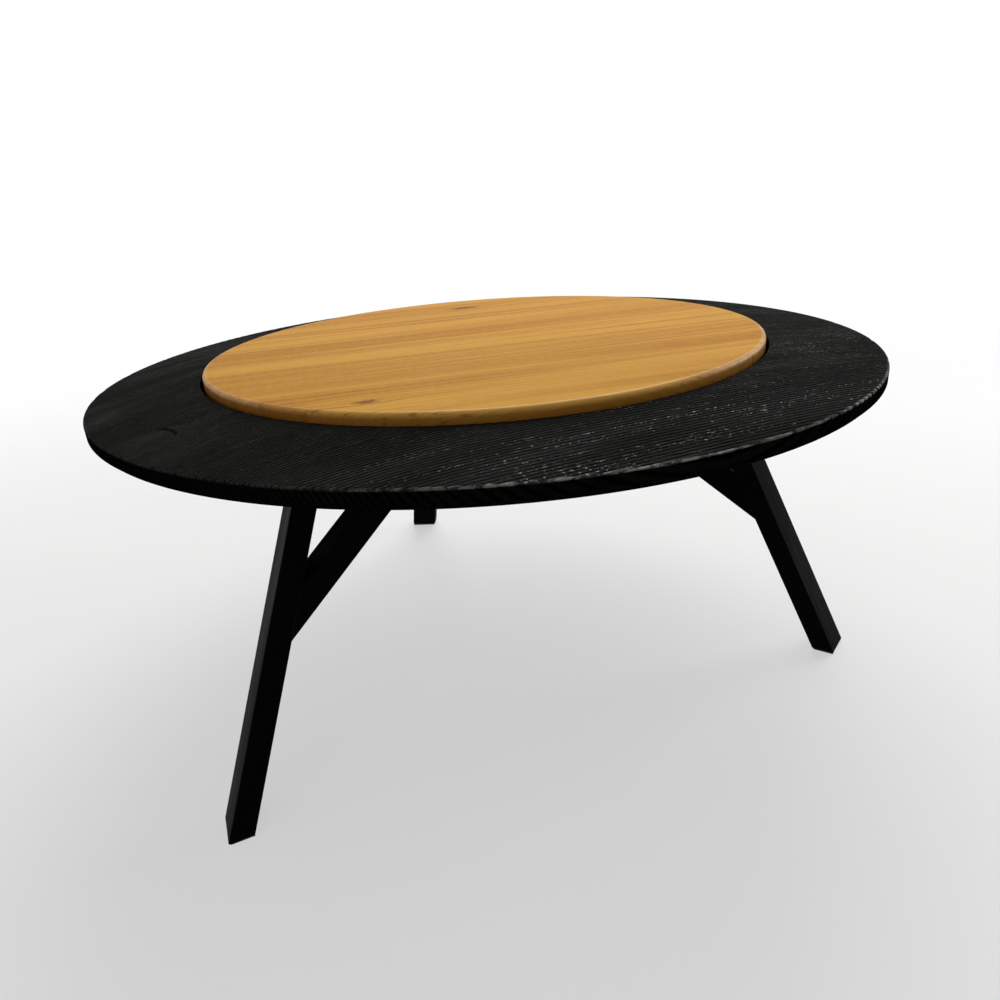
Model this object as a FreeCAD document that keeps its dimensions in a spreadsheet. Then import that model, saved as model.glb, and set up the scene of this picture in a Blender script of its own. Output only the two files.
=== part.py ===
import FreeCAD, Part
import math
import os

import Sketcher
from FreeCAD import Placement, Rotation, Vector

# Round coffee table with a raised turntable disc in a dark board ring, on three splayed legs.
# The origin is on the floor under the centre of the top. +Z is up, and the back leg is towards +Y.

os.makedirs("parts", exist_ok=True)
doc = FreeCAD.newDocument("round_coffee_table")

# Driving dimensions in millimetres and degrees
SIZES = [
    ("top_radius", 450.0, "outer radius of the board ring"),
    ("top_height", 410.0, "height of the ring's upper face above the floor, at its rim"),
    ("ring_thickness", 18.0, "thickness of the ring's boards at the rim"),
    ("ring_rise", 9.0, "rise of the ring's upper face from its rim to its opening"),
    ("ring_edge_chamfer", 2.5, "chamfer of the ring's upper outer edge"),
    ("ring_under_chamfer", 4.5, "chamfer of the ring's lower outer edge"),
    ("disc_radius_share", 0.732, "radius of the turning disc, of the ring's"),
    ("disc_gap", 3.0, "open gap between disc and ring"),
    ("disc_proud", 19.5, "height of the disc's face above the ring's rim"),
    ("disc_thickness", 20.0, "thickness of the disc's staves"),
    ("disc_edge_round", 5.0, "rounding of the disc's upper edge"),
    ("disc_under_chamfer", 1.5, "chamfer of the disc's lower edge"),
    ("disc_rest_angle", -6.2, "angle of the staves at rest"),
    ("panel_lap", 48.0, "width of the panel that lies under the ring"),
    ("panel_thickness", 18.0, "thickness of the panel under the ring"),
    ("access_radius", 6.0, "radius of the screwdriver hole in the panel"),
    ("ball_radius", 3.0, "radius of a bearing ball"),
    ("ball_circle_radius", 140.0, "radius of the circle that the balls run on"),
    ("ball_clearance", 0.3, "running clearance round a ball"),
    ("race_width", 15.0, "radial width of a bearing ring"),
    ("race_split", 2.0, "gap between the two bearing rings"),
    ("race_lift", 1.0, "height that each bearing ring stays clear of the other side"),
    ("cage_wall", 1.2, "radial thickness of the ball cage"),
    ("cage_margin", 0.5, "height that the cage stays clear of the panel and the disc"),
    ("leg_width", 42.0, "wide side of a leg's section"),
    ("leg_depth", 25.0, "narrow side of a leg's section"),
    ("leg_edge_round", 2.0, "rounding of a leg's long edges"),
    ("leg_twist_angle", 25.0, "turn of a leg's section about its own length"),
    ("foot_radius_share", 0.98, "distance of a foot's centre from the axis, of the ring's radius"),
    ("leg_top_share", 0.629, "distance of a leg's upper end from the axis, of the ring's radius"),
    ("brace_thickness", 25.0, "horizontal thickness of a brace"),
    ("brace_depth", 32.0, "depth of a brace across its slope"),
    ("brace_edge_round", 1.5, "rounding of a brace's long edges"),
    ("brace_foot_share", 0.56, "height at which a brace meets its leg, of the leg's height"),
    ("brace_top_share", 0.333, "distance of a brace's upper end along the leg's radial line, of the ring's radius"),
    ("brace_side_share", 0.079, "distance of that end beside the radial line, of the ring's radius"),
    ("rail_width", 40.0, "width of the rail under the panel"),
    ("rail_depth", 24.0, "depth of the rail under the panel"),
    ("rail_outer_overhang", 30.0, "length of rail past the leg's centre"),
    ("rail_inner_overhang", 42.0, "length of rail past the brace's centre"),
    ("rail_end_chamfer", 8.0, "chamfer under each end of a rail"),
    ("glide_thickness", 3.0, "thickness of the pad under a foot"),
    ("glide_inset", 1.5, "distance of the pad's edge inside the foot"),
    ("dowel_radius", 4.0, "radius of a joint dowel"),
    ("dowel_half_length", 16.0, "length of a dowel in each of its two pieces"),
    ("dowel_clearance", 0.1, "glue gap round a dowel"),
    ("screw_head_radius", 4.0, "radius of a countersunk wood screw's head"),
    ("screw_shank_radius", 2.0, "radius of a wood screw's shank"),
    ("screw_head_depth", 2.2, "depth of a countersunk head"),
    ("screw_clearance", 0.1, "gap round a screw"),
    ("ring_screw_length", 30.0, "length of a screw from the panel into the ring"),
    ("rail_screw_length", 36.0, "length of a screw from a rail into the panel"),
    ("race_screw_length", 24.0, "length of a screw through a bearing ring"),
    ("cut_overrun", 50.0, "length that a cutting solid runs past what it cuts"),
]

# Sizes that follow others
FOLLOWERS = [
    ("disc_radius", "top_radius * disc_radius_share", "radius of the turning disc"),
    ("hole_radius", "disc_radius + disc_gap", "radius of the ring's opening"),
    ("panel_radius", "hole_radius + panel_lap", "radius of the panel under the ring"),
    ("foot_radius", "top_radius * foot_radius_share", "distance of a foot's centre from the axis"),
    ("leg_top_radius", "top_radius * leg_top_share", "distance of a leg's upper end from the axis"),
    ("ring_bottom", "top_height - ring_thickness", "height of the ring's lower face"),
    ("panel_bottom", "ring_bottom - panel_thickness", "height of the panel's lower face"),
    ("rail_bottom", "panel_bottom - rail_depth", "height of a rail's lower face"),
    ("disc_top", "top_height + disc_proud", "height of the disc's face"),
    ("disc_bottom", "disc_top - disc_thickness", "height of the disc's lower face"),
    ("ball_level", "(ring_bottom + disc_bottom) / 2", "height of the balls' centres"),
    ("race_inner", "ball_circle_radius - race_split / 2", "outer radius of the turning bearing ring"),
    ("race_outer", "ball_circle_radius + race_split / 2", "inner radius of the fixed bearing ring"),
]

# Counts
RING_BOARD_ROWS = 6
STAVE_COUNT = 8
LEG_COUNT = 3
BALL_COUNT = 20
RING_SCREW_COUNT = 12
RACE_SCREW_COUNT = 4

# Shares of the sizes that they follow
FIRST_LEG_TURN_SHARE = 0.25
RING_SCREW_TURN_SHARE = 0.5
RAIL_SCREW_PLACE_SHARES = (0.3, 0.5, 0.7)

FULL_TURN = 360.0
NEAR = 0.01
UP = Vector(0, 0, 1)

sheet = doc.addObject("Spreadsheet::Sheet", "sizes")
followers = [(alias, f"={formula}", note) for alias, formula, note in FOLLOWERS]
for row, (alias, value, note) in enumerate(SIZES + followers, 1):
    sheet.set(f"A{row}", note)
    sheet.set(f"B{row}", str(value))
    sheet.setAlias(f"B{row}", alias)
doc.recompute()


def size(alias):
    """A driving dimension, read from the sheet."""
    return float(sheet.get(alias))


def bind(item, **expressions):
    """Ties properties of a document object to the sheet; a name in a sum is a cell's alias."""
    for prop, expression in expressions.items():
        item.setExpression(prop.replace("__", "."), expression)


# Turned blanks

def plane_of(body, role):
    """One of a body's own origin planes."""
    return next(f for f in body.Origin.OriginFeatures if f.Role == role)


def turned_blank(name, inner, outer, bottom, top, inner_top=None):
    """A body turned about Z from four sides tied to the sheet; inner_top gives a sloping upper face."""
    body = doc.addObject("PartDesign::Body", name)
    sketch = body.newObject("Sketcher::SketchObject", name + "_profile")
    sketch.AttachmentSupport = (plane_of(body, "XZ_Plane"), [""])
    sketch.MapMode = "FlatFace"
    # A start shape only, which the ties to the sheet then move
    start_in, start_out = size("race_width"), size("top_radius")
    corners = [
        Vector(start_in, 0, 0),
        Vector(start_out, 0, 0),
        Vector(start_out, start_in, 0),
        Vector(start_in, start_in, 0),
    ]
    for first, second in zip(corners, corners[1:] + corners[:1]):
        sketch.addGeometry(Part.LineSegment(first, second), False)
    for side in range(4):
        sketch.addConstraint(Sketcher.Constraint("Coincident", side, 2, (side + 1) % 4, 1))
    for side in (0,) if inner_top else (0, 2):
        sketch.addConstraint(Sketcher.Constraint("Horizontal", side))
    for side in (1, 3):
        sketch.addConstraint(Sketcher.Constraint("Vertical", side))
    ties = [("DistanceX", 0, 1, inner), ("DistanceX", 1, 1, outer), ("DistanceY", 0, 1, bottom),
            ("DistanceY", 2, 1, top)]
    if inner_top:
        ties.append(("DistanceY", 3, 1, inner_top))
    for kind, side, end, expression in ties:
        index = sketch.addConstraint(Sketcher.Constraint(kind, -1, 1, side, end, start_out))
        sketch.setExpression(f"Constraints[{index}]", expression)
    doc.recompute()
    turn = body.newObject("PartDesign::Revolution", name + "_turn")
    turn.Profile = sketch
    turn.ReferenceAxis = (sketch, ["V_Axis"])
    turn.Angle = FULL_TURN
    body.Tip = turn
    doc.recompute()
    return body


def circle_edge(shape, radius, level):
    """The name of the level round edge that has this radius and height."""
    for index, edge in enumerate(shape.Edges, 1):
        if isinstance(edge.Curve, Part.Circle) and abs(edge.Curve.Radius - radius) < NEAR:
            if abs(edge.Curve.Center.z - level) < NEAR:
                return f"Edge{index}"
    raise ValueError(f"no round edge of radius {radius} at height {level}")


def ease_edge(body, radius, level, amount):
    """Chamfers one round edge of a body."""
    base = body.Tip
    chamfer = body.newObject("PartDesign::Chamfer", body.Name + "_chamfer")
    chamfer.Base = (base, [circle_edge(base.Shape, radius, level)])
    bind(chamfer, Size=f"sizes.{amount}")
    body.Tip = chamfer
    doc.recompute()


def groove_for_balls(body):
    """Turns the balls' track out of a bearing ring."""
    sketch = body.newObject("Sketcher::SketchObject", body.Name + "_track_profile")
    sketch.AttachmentSupport = (plane_of(body, "XZ_Plane"), [""])
    sketch.MapMode = "FlatFace"
    centre = Vector(size("ball_circle_radius"), size("ball_level"), 0)
    sketch.addGeometry(Part.Circle(centre, Vector(0, 0, 1), size("ball_radius")), False)
    ties = (("DistanceX", "sizes.ball_circle_radius"), ("DistanceY", "sizes.ball_level"))
    for kind, expression in ties:
        index = sketch.addConstraint(Sketcher.Constraint(kind, -1, 1, 0, 3, size("ball_radius")))
        sketch.setExpression(f"Constraints[{index}]", expression)
    index = sketch.addConstraint(Sketcher.Constraint("Radius", 0, size("ball_radius")))
    sketch.setExpression(f"Constraints[{index}]", "sizes.ball_radius + sizes.ball_clearance")
    doc.recompute()
    before = body.Shape.Volume
    groove = body.newObject("PartDesign::Groove", body.Name + "_track")
    groove.Profile = sketch
    groove.ReferenceAxis = (sketch, ["V_Axis"])
    groove.Angle = FULL_TURN
    body.Tip = groove
    doc.recompute()
    if not body.Shape.Volume < before:
        raise ValueError(f"the track cut nothing out of {body.Name}")


# Fasteners

def screw_solid(length, gap):
    """A countersunk wood screw, head face at the origin, pointing up; gap widens it for its hole."""
    head = size("screw_head_radius") + gap
    shank = size("screw_shank_radius") + gap
    depth = size("screw_head_depth")
    point = length - shank
    outline = [Vector(0, 0, 0), Vector(head, 0, 0), Vector(shank, 0, depth), Vector(shank, 0, point),
               Vector(0, 0, length)]
    face = Part.Face(Part.makePolygon(outline + outline[:1]))
    return face.revolve(Vector(0, 0, 0), UP, FULL_TURN)


def dowel_solid(gap):
    """A joint dowel centred on the origin along Z; gap widens and lengthens it for its hole."""
    half = size("dowel_half_length") + gap
    return Part.makeCylinder(size("dowel_radius") + gap, 2 * half, Vector(0, 0, -half), UP)


def placed(solid, places):
    """Copies of a solid at several placements, as one group of solids."""
    copies = []
    for place in places:
        copy = solid.copy()
        copy.Placement = place
        copies.append(copy)
    return Part.Compound(copies)


def ring_of_places(count, radius, level, first_turn, flip=False):
    """Placements on a level circle, turned with it; flip points them down."""
    places = []
    for number in range(count):
        about = Rotation(UP, FULL_TURN * (number + first_turn) / count)
        point = about.multVec(Vector(radius, 0, level))
        turn = about.multiply(Rotation(Vector(1, 0, 0), FULL_TURN / 2)) if flip else about
        places.append(Placement(point, turn))
    return places


def group(name, shape):
    """A document object that holds a group of like solids."""
    item = doc.addObject("Part::Feature", name)
    item.Shape = shape
    return item


def cut_away(name, base, tool):
    """One piece less the solids of another."""
    cut = doc.addObject("Part::Cut", name)
    cut.Base = base
    cut.Tool = tool
    cut.Refine = False
    return cut


def common_to(name, first, second):
    """What two solids share."""
    common = doc.addObject("Part::Common", name)
    common.Base = first
    common.Tool = second
    common.Refine = False
    return common


parts = []


def keep(item, name):
    """Names an object and lists it for export."""
    item.Label = name
    parts.append(item)


# Places of the fasteners in the top
fixed_screw_radius = size("race_outer") + size("race_width") / 2
turning_screw_radius = size("race_inner") - size("race_width") / 2
ring_screw_radius = (size("hole_radius") + size("panel_radius")) / 2
ring_screw_places = ring_of_places(RING_SCREW_COUNT, ring_screw_radius, size("panel_bottom"),
                                   RING_SCREW_TURN_SHARE)
fixed_race_top = size("disc_bottom") - size("race_lift")
turning_race_bottom = size("ring_bottom") + size("race_lift")
fixed_screw_places = ring_of_places(RACE_SCREW_COUNT, fixed_screw_radius, fixed_race_top, 0, True)
turning_screw_places = ring_of_places(RACE_SCREW_COUNT, turning_screw_radius, turning_race_bottom,
                                      RING_SCREW_TURN_SHARE)
access_place = turning_screw_places[0].Base

# Legs, braces and rails are laid out once for a leg towards +X and then turned about the axis
leg_angles = [FULL_TURN * (number / LEG_COUNT + FIRST_LEG_TURN_SHARE) for number in range(LEG_COUNT)]
foot = Vector(size("foot_radius"), 0, 0)
leg_top = Vector(size("leg_top_radius"), 0, size("rail_bottom"))
leg_run = leg_top - foot
leg_splay = math.degrees(math.atan2(-leg_run.x, leg_run.z))
leg_turn = Rotation(Vector(0, 1, 0), -leg_splay).multiply(Rotation(UP, -size("leg_twist_angle")))


def on_leg(level):
    """The point of the leg's centre line at a height."""
    return foot + leg_run * (level / leg_run.z)


brace_seat = on_leg(size("rail_bottom") * size("brace_foot_share"))
brace_top = Vector(
    size("top_radius") * size("brace_top_share"),
    size("top_radius") * size("brace_side_share"),
    size("rail_bottom"),
)
brace_run = brace_top - brace_seat
brace_yaw = Rotation(UP, math.degrees(math.atan2(brace_run.y, brace_run.x)))
brace_slope = math.degrees(math.asin(brace_run.z / brace_run.Length))
brace_turn = brace_yaw.multiply(Rotation(Vector(0, 1, 0), -brace_slope))
brace_axis = brace_turn.multVec(Vector(1, 0, 0))

rail_run = Vector(brace_top.x - leg_top.x, brace_top.y - leg_top.y, 0)
rail_angle = math.degrees(math.atan2(rail_run.y, rail_run.x))
rail_turn = Rotation(UP, rail_angle)
rail_axis = rail_turn.multVec(Vector(1, 0, 0))
rail_length = rail_run.Length + size("rail_outer_overhang") + size("rail_inner_overhang")
rail_start = leg_top - rail_axis * size("rail_outer_overhang")


def brace_meets_leg():
    """The point where the brace's centre line enters the leg's inner face."""
    normal = leg_turn.multVec(Vector(1, 0, 0))
    face_point = on_leg(brace_seat.z) - normal * (size("leg_depth") / 2)
    reach = (face_point - brace_seat).dot(normal) / brace_axis.dot(normal)
    return brace_seat + brace_axis * reach


brace_foot = brace_meets_leg()
dowel_frames = [
    Placement(leg_top, Rotation()),
    Placement(brace_top, Rotation()),
    Placement(brace_foot, Rotation(UP, brace_axis)),
]
rail_screw_frames = [
    Placement(rail_start + rail_axis * (rail_length * share), Rotation())
    for share in RAIL_SCREW_PLACE_SHARES
]


def about_axis(frames, angles):
    """Placements repeated round the table's axis."""
    return [Placement(Vector(), Rotation(UP, angle)).multiply(f) for angle in angles for f in frames]


# The fasteners, and the same shapes widened as cutters
ring_screws = group("ring_screw_set", placed(screw_solid(size("ring_screw_length"), 0), ring_screw_places))
rail_screws = group("rail_screw_set", placed(screw_solid(size("rail_screw_length"), 0),
                                             about_axis(rail_screw_frames, leg_angles)))
fixed_screws = group("fixed_race_screw_set", placed(screw_solid(size("race_screw_length"), 0),
                                                    fixed_screw_places))
turning_screws = group("turning_race_screw_set", placed(screw_solid(size("race_screw_length"), 0),
                                                        turning_screw_places))
dowels = group("dowel_set", placed(dowel_solid(0), about_axis(dowel_frames, leg_angles)))

screw_gap = size("screw_clearance")
ring_screw_cutter = placed(screw_solid(size("ring_screw_length"), screw_gap), ring_screw_places)
rail_screw_cutter = placed(screw_solid(size("rail_screw_length"), screw_gap),
                           about_axis(rail_screw_frames, leg_angles))
fixed_screw_cutter = placed(screw_solid(size("race_screw_length"), screw_gap), fixed_screw_places)
turning_screw_cutter = placed(screw_solid(size("race_screw_length"), screw_gap), turning_screw_places)
dowel_cutter = placed(dowel_solid(size("dowel_clearance")), about_axis(dowel_frames, leg_angles))
access_hole = Part.makeCylinder(
    size("access_radius"),
    size("panel_thickness") + 2 * size("cut_overrun"),
    Vector(access_place.x, access_place.y, size("panel_bottom") - size("cut_overrun")),
    UP,
)
top_cutter = group("top_screw_holes", Part.Compound([ring_screw_cutter, rail_screw_cutter, fixed_screw_cutter]))
disc_cutter = group("disc_screw_holes", turning_screw_cutter)
panel_cutter = group("panel_holes", Part.Compound([ring_screw_cutter, rail_screw_cutter,
                                                   fixed_screw_cutter, access_hole]))
frame_cutter = group("frame_holes", Part.Compound([rail_screw_cutter, dowel_cutter]))

# The board ring: a turned blank, divided into its edge-glued boards, the middle ones in two halves
ring_blank = turned_blank("ring_blank", "sizes.hole_radius", "sizes.top_radius", "sizes.ring_bottom",
                          "sizes.top_height", "sizes.top_height + sizes.ring_rise")
ease_edge(ring_blank, size("top_radius"), size("top_height"), "ring_edge_chamfer")
ease_edge(ring_blank, size("top_radius"), size("ring_bottom"), "ring_under_chamfer")
ring_drilled = cut_away("ring_drilled", ring_blank, top_cutter)

board_width = f"2 * sizes.top_radius / {RING_BOARD_ROWS}"
board_number = 0
for row in range(RING_BOARD_ROWS):
    first, last = row == 0, row == RING_BOARD_ROWS - 1
    for half in (0,) if first or last else (-1, 1):
        board_number += 1
        slab = doc.addObject("Part::Box", f"ring_slab_{board_number}")
        bind(slab, Width=f"{board_width} + {int(first or last)} * sizes.cut_overrun")
        bind(slab, Height="sizes.ring_thickness + 2 * sizes.cut_overrun")
        bind(slab, Placement__Base__z="sizes.ring_bottom - sizes.cut_overrun")
        low_side = f"{board_width} * {row} - sizes.top_radius"
        bind(slab, Placement__Base__y=f"{low_side} - {int(first)} * sizes.cut_overrun")
        if half == 0:
            bind(slab, Length="2 * sizes.top_radius + 2 * sizes.cut_overrun")
            bind(slab, Placement__Base__x="-(sizes.top_radius + sizes.cut_overrun)")
        else:
            bind(slab, Length="sizes.top_radius + sizes.cut_overrun")
            bind(slab, Placement__Base__x="0" if half > 0 else "-(sizes.top_radius + sizes.cut_overrun)")
        keep(common_to(f"ring_board_piece_{board_number}", ring_drilled, slab), f"ring_board_{board_number}")

# The panel that carries the ring and the bearing
panel_blank = doc.addObject("Part::Cylinder", "panel_blank")
bind(panel_blank, Radius="sizes.panel_radius", Height="sizes.panel_thickness")
bind(panel_blank, Placement__Base__z="sizes.panel_bottom")
keep(cut_away("panel_drilled", panel_blank, panel_cutter), "under_panel")

# The disc: a turned blank, divided into staves that lie at the disc's rest angle
disc_core = doc.addObject("Part::Cylinder", "disc_core")
bind(disc_core, Radius="sizes.disc_radius", Height="sizes.disc_thickness")
bind(disc_core, Placement__Base__z="sizes.disc_bottom")
doc.recompute()


def eased(kind, name, base, level, amount):
    """The disc's blank with its round edge at one level rounded or chamfered."""
    item = doc.addObject(kind, name)
    item.Base = base
    index = int(circle_edge(base.Shape, size("disc_radius"), level).replace("Edge", ""))
    item.Edges = [(index, size(amount), size(amount))]
    doc.recompute()
    return item


disc_rounded = eased("Part::Fillet", "disc_rounded", disc_core, size("disc_top"), "disc_edge_round")
disc_eased = eased("Part::Chamfer", "disc_eased", disc_rounded, size("disc_bottom"), "disc_under_chamfer")
disc_drilled = cut_away("disc_drilled", disc_eased, disc_cutter)

stave_turn = Rotation(UP, size("disc_rest_angle"))
stave_width = 2 * size("disc_radius") / STAVE_COUNT
for row in range(STAVE_COUNT):
    first, last = row == 0, row == STAVE_COUNT - 1
    slab = doc.addObject("Part::Box", f"stave_slab_{row + 1}")
    bind(slab, Length="2 * sizes.disc_radius + 2 * sizes.cut_overrun")
    bind(slab, Width=f"2 * sizes.disc_radius / {STAVE_COUNT} + {int(first or last)} * sizes.cut_overrun")
    bind(slab, Height="sizes.disc_thickness + 2 * sizes.cut_overrun")
    corner = Vector(
        -(size("disc_radius") + size("cut_overrun")),
        stave_width * row - size("disc_radius") - int(first) * size("cut_overrun"),
        size("disc_bottom") - size("cut_overrun"),
    )
    slab.Placement = Placement(stave_turn.multVec(corner), stave_turn)
    keep(common_to(f"stave_piece_{row + 1}", disc_drilled, slab), f"disc_stave_{row + 1}")

# The bearing: two flat rings with a shared ball track, the balls and their cage
fixed_race = turned_blank(
    "fixed_race_blank",
    "sizes.race_outer",
    "sizes.race_outer + sizes.race_width",
    "sizes.ring_bottom",
    "sizes.disc_bottom - sizes.race_lift",
)
groove_for_balls(fixed_race)
turning_race = turned_blank(
    "turning_race_blank",
    "sizes.race_inner - sizes.race_width",
    "sizes.race_inner",
    "sizes.ring_bottom + sizes.race_lift",
    "sizes.disc_bottom",
)
groove_for_balls(turning_race)
fixed_race_holes = group("fixed_race_holes", fixed_screw_cutter)
turning_race_holes = group("turning_race_holes", turning_screw_cutter)
keep(cut_away("fixed_race_drilled", fixed_race, fixed_race_holes), "bearing_fixed_race")
keep(cut_away("turning_race_drilled", turning_race, turning_race_holes), "bearing_turning_race")

ball_places = ring_of_places(BALL_COUNT, size("ball_circle_radius"), size("ball_level"), 0)
balls = group("ball_set", placed(Part.makeSphere(size("ball_radius")), ball_places))
keep(balls, "bearing_balls")
cage_blank = turned_blank(
    "cage_blank",
    "sizes.ball_circle_radius - sizes.cage_wall / 2",
    "sizes.ball_circle_radius + sizes.cage_wall / 2",
    "sizes.ring_bottom + sizes.cage_margin",
    "sizes.disc_bottom - sizes.cage_margin",
)
pocket = Part.makeCylinder(
    size("ball_radius") + size("ball_clearance") / 2,
    2 * size("race_width"),
    Vector(-size("race_width"), 0, 0),
    Vector(1, 0, 0),
)
cage_pockets = group("cage_pockets", placed(pocket, ball_places))
keep(cut_away("cage_cut", cage_blank, cage_pockets), "bearing_cage")

# One leg frame: leg, brace, rail and glide
frame_slab = doc.addObject("Part::Box", "frame_slab")
span = "(sizes.top_radius + sizes.cut_overrun)"
bind(frame_slab, Length=f"2 * {span}", Width=f"2 * {span}")
bind(frame_slab, Height="sizes.rail_bottom - sizes.glide_thickness")
bind(frame_slab, Placement__Base__x=f"-{span}", Placement__Base__y=f"-{span}")
bind(frame_slab, Placement__Base__z="sizes.glide_thickness")


def rounded_bar(name, length, width, depth, amount):
    """A box along Z, centred on it, with its four long edges rounded; overruns at both ends."""
    bar = doc.addObject("Part::Box", name + "_box")
    bind(bar, Length=depth, Width=width)
    bar.Height = length + 2 * size("cut_overrun")
    doc.recompute()
    rounded = doc.addObject("Part::Fillet", name)
    rounded.Base = bar
    edges = []
    for index, edge in enumerate(bar.Shape.Edges, 1):
        run = edge.Vertexes[1].Point - edge.Vertexes[0].Point
        if abs(run.z) > abs(run.x) + abs(run.y):
            edges.append((index, size(amount), size(amount)))
    rounded.Edges = edges
    return rounded


def bar_placement(start, turn, depth, width):
    """Where a bar goes so that its centre line starts at a point, less the overrun."""
    corner = Vector(-depth / 2, -width / 2, -size("cut_overrun"))
    return Placement(start + turn.multVec(corner), turn)


leg_place = bar_placement(foot, leg_turn, size("leg_depth"), size("leg_width"))
brace_up = brace_turn.multiply(Rotation(Vector(0, 1, 0), FULL_TURN / 4))
brace_place = bar_placement(brace_foot, brace_up, size("brace_depth"), size("brace_thickness"))
leg_side_place = Placement(
    on_leg(brace_seat.z) + leg_turn.multVec(
        Vector(-size("leg_depth") / 2, -size("top_radius"), -size("top_radius"))
    ),
    leg_turn,
)
glide_turn = Rotation(UP, -size("leg_twist_angle"))
glide_depth = size("leg_depth") / math.cos(math.radians(leg_splay)) - 2 * size("glide_inset")
glide_width = size("leg_width") - 2 * size("glide_inset")

for number, angle in enumerate(leg_angles, 1):
    about = Placement(Vector(), Rotation(UP, angle))

    leg_bar = rounded_bar(f"leg_bar_{number}", leg_run.Length, "sizes.leg_width", "sizes.leg_depth",
                          "leg_edge_round")
    leg_bar.Placement = about.multiply(leg_place)
    leg_cut = common_to(f"leg_cut_{number}", leg_bar, frame_slab)
    keep(cut_away(f"leg_drilled_{number}", leg_cut, frame_cutter), f"leg_{number}")

    brace_bar = rounded_bar(f"brace_bar_{number}", brace_run.Length, "sizes.brace_thickness",
                            "sizes.brace_depth", "brace_edge_round")
    brace_bar.Placement = about.multiply(brace_place)
    brace_level = common_to(f"brace_level_{number}", brace_bar, frame_slab)
    leg_side = doc.addObject("Part::Box", f"leg_side_{number}")
    bind(leg_side, Length="sizes.top_radius", Width="2 * sizes.top_radius", Height="2 * sizes.top_radius")
    leg_side.Placement = about.multiply(leg_side_place)
    brace_fitted = cut_away(f"brace_fitted_{number}", brace_level, leg_side)
    keep(cut_away(f"brace_drilled_{number}", brace_fitted, frame_cutter), f"brace_{number}")

    rail_box = doc.addObject("Part::Box", f"rail_box_{number}")
    bind(rail_box, Width="sizes.rail_width", Height="sizes.rail_depth")
    rail_box.Length = rail_length
    rail_corner = rail_start - rail_turn.multVec(Vector(0, size("rail_width") / 2, 0))
    rail_box.Placement = about.multiply(Placement(rail_corner, rail_turn))
    doc.recompute()
    rail_cut = doc.addObject("Part::Chamfer", f"rail_cut_{number}")
    rail_cut.Base = rail_box
    chamfers = []
    for index, edge in enumerate(rail_box.Shape.Edges, 1):
        low = all(abs(v.Point.z - size("rail_bottom")) < NEAR for v in edge.Vertexes)
        short = abs(edge.Length - size("rail_width")) < NEAR
        if low and short:
            chamfers.append((index, size("rail_end_chamfer"), size("rail_end_chamfer")))
    rail_cut.Edges = chamfers
    keep(cut_away(f"rail_drilled_{number}", rail_cut, frame_cutter), f"rail_{number}")

    glide = doc.addObject("Part::Box", f"glide_pad_{number}")
    bind(glide, Height="sizes.glide_thickness")
    glide.Length = glide_depth
    glide.Width = glide_width
    glide_centre = on_leg(size("glide_thickness"))
    glide_corner = Vector(glide_centre.x, glide_centre.y, 0)
    glide_corner -= glide_turn.multVec(Vector(glide_depth / 2, glide_width / 2, 0))
    glide.Placement = about.multiply(Placement(glide_corner, glide_turn))
    keep(glide, f"foot_glide_{number}")

keep(ring_screws, "ring_screws")
keep(rail_screws, "rail_screws")
keep(fixed_screws, "fixed_race_screws")
keep(turning_screws, "turning_race_screws")
keep(dowels, "joint_dowels")

doc.recompute()
for item in doc.Objects:
    if "Invalid" in item.State or "Error" in item.State:
        raise ValueError(f"{item.Name} failed: {item.State}")
for item in parts:
    if item.Shape.isNull() or not item.Shape.isValid() or not item.Shape.Solids:
        raise ValueError(f"{item.Label} has no valid solid")
for item in parts:
    item.Shape.exportStep(f"parts/{item.Label}.step")
print(len(parts), "pieces written")
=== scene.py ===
"""Dresses the round coffee table: a honey-coloured turning disc in a charred ring, on splayed legs."""

import math

import bmesh
import bpy
import numpy as np
from mathutils import Euler, Matrix, Vector


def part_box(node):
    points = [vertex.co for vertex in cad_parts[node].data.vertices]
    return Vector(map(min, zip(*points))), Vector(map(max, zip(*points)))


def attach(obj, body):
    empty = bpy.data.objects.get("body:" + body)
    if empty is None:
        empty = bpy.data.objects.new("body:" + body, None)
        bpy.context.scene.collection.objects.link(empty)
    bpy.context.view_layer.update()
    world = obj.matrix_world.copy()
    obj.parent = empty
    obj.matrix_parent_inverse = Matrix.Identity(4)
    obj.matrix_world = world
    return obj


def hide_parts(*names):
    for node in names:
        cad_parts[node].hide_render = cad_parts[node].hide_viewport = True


bl_info = {
    "name": "Round turntable coffee table",
    "version": (1, 0, 0),
    "blender": (4, 5, 0),
    "location": "3D View > Sidebar > Table",
    "description": "Gives the coffee table its charred ring, honey-coloured disc, finishes and stage",
    "category": "Object",
}

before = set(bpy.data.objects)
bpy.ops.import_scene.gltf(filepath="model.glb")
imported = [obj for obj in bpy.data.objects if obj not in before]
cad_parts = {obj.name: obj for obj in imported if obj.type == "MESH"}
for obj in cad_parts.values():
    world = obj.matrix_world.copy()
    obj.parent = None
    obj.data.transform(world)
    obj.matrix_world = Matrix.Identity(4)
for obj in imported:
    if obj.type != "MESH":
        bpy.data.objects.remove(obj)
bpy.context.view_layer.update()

MILLIMETRE = 0.001
FULL_TURN = 2 * math.pi
SHARP_ANGLE = math.radians(48)

# The ring's outer rows are one board each, the others two halves
BOARD_ROWS = 6
BOARD_COUNT = 2 * BOARD_ROWS - 2
STAVE_ROWS = 8
STAVE_TURN = math.radians(-6.2)
LEG_COUNT = 3

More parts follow.
